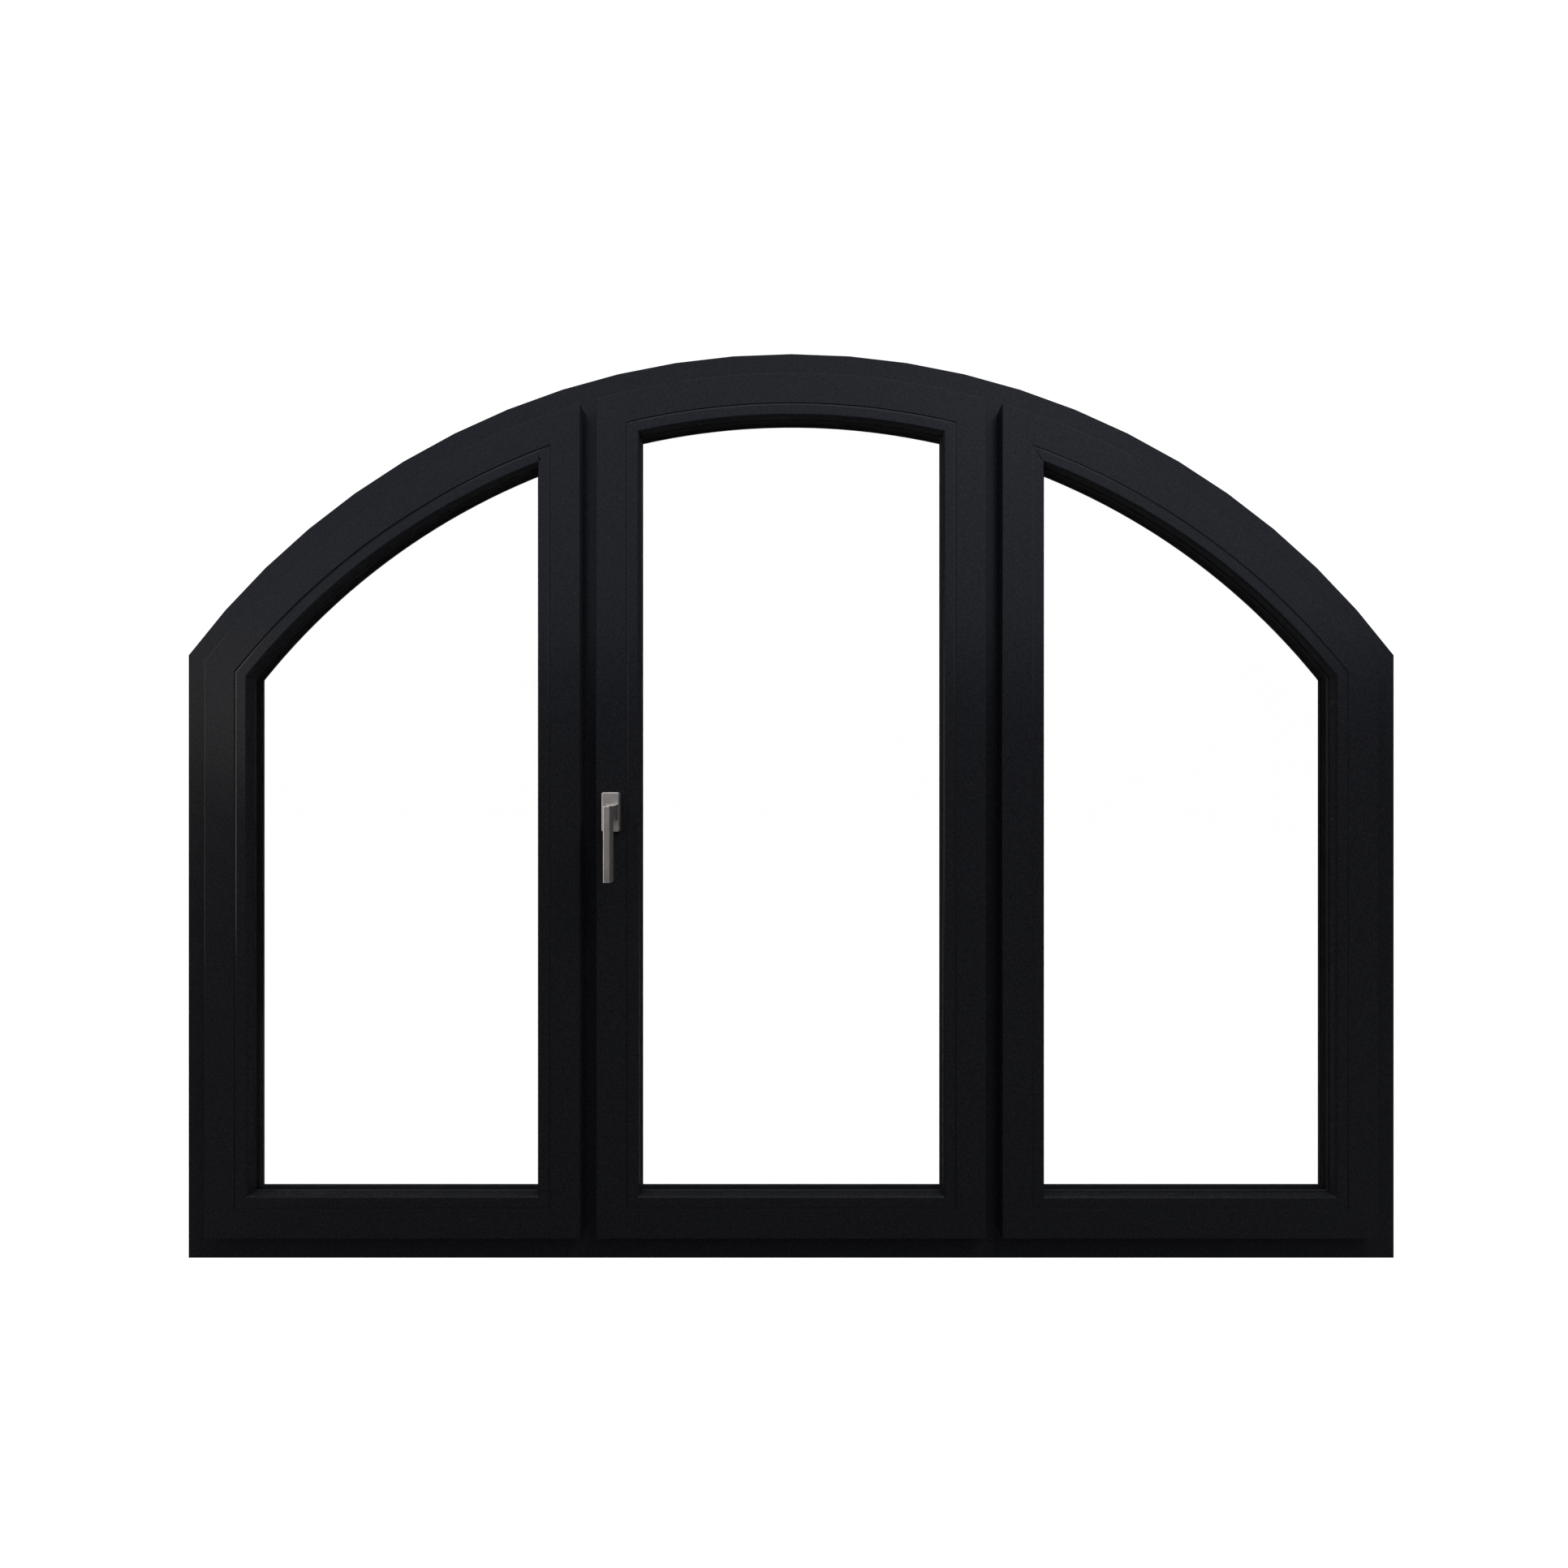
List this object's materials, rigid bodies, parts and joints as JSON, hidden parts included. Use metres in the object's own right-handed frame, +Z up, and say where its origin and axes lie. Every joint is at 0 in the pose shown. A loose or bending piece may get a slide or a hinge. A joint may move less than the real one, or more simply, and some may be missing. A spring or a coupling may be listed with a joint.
{
  "type": "arched top window",
  "caption": "Arched top window frame with glazed sashes side by side between mullions, and one turning handle.",
  "frame": {"origin": "underside of the sill, at mid width and mid depth of the outer frame", "axes": "+X to the right seen from the room, +Y out of the room, +Z up"},
  "size_m": [2, 0.143, 1.5],
  "materials": {
    "frame_profile": "matt, fine grain",
    "sash_profile": "matt, fine grain",
    "bead_profile": "matt, fine grain",
    "glass": "clear, polished",
    "gasket": "dull",
    "drain_cap": "matt",
    "spacer": "dull",
    "handle_metal": "satin, bead blasted",
    "spindle_steel": "plain"
  },
  "bodies": {
    "window": {"centre_sash_arched_bead": "bead_profile", "centre_sash_arched_rail": "sash_profile", "centre_sash_bottom_bead": "bead_profile", "centre_sash_bottom_rail": "sash_profile", "centre_sash_inner_pane": "glass", "centre_sash_left_bead": "bead_profile", "centre_sash_left_stile": "sash_profile", "centre_sash_outer_pane": "glass", "centre_sash_right_bead": "bead_profile", "centre_sash_right_stile": "sash_profile", "drain_caps": "drain_cap", "frame_arched_head": "frame_profile", "frame_left_jamb": "frame_profile", "frame_right_jamb": "frame_profile", "frame_sill": "frame_profile", "handle_base_plate": "handle_metal", "inner_glazing_gaskets": "gasket", "left_mullion": "frame_profile", "left_sash_arched_bead": "bead_profile", "left_sash_arched_rail": "sash_profile", "left_sash_bottom_bead": "bead_profile", "left_sash_bottom_rail": "sash_profile", "left_sash_inner_pane": "glass", "left_sash_left_bead": "bead_profile", "left_sash_left_stile": "sash_profile", "left_sash_outer_pane": "glass", "left_sash_right_bead": "bead_profile", "left_sash_right_stile": "sash_profile", "outer_glazing_gaskets": "gasket", "overlap_seals": "gasket", "rebate_seals": "gasket", "right_mullion": "frame_profile", "right_sash_arched_bead": "bead_profile", "right_sash_arched_rail": "sash_profile", "right_sash_bottom_bead": "bead_profile", "right_sash_bottom_rail": "sash_profile", "right_sash_inner_pane": "glass", "right_sash_left_bead": "bead_profile", "right_sash_left_stile": "sash_profile", "right_sash_outer_pane": "glass", "right_sash_right_bead": "bead_profile", "right_sash_right_stile": "sash_profile", "spacer_bars": "spacer"},
    "handle": {"handle_lever": "handle_metal", "handle_spindle": "spindle_steel"}
  },
  "joints": [
    {"name": "handle_turn", "type": "hinge", "parent": "window", "child": "handle", "pos_m": [-0.2912, -0.061, 0.74], "axis": [0, -1, 0], "range_deg": [0, 180]}
  ]
}
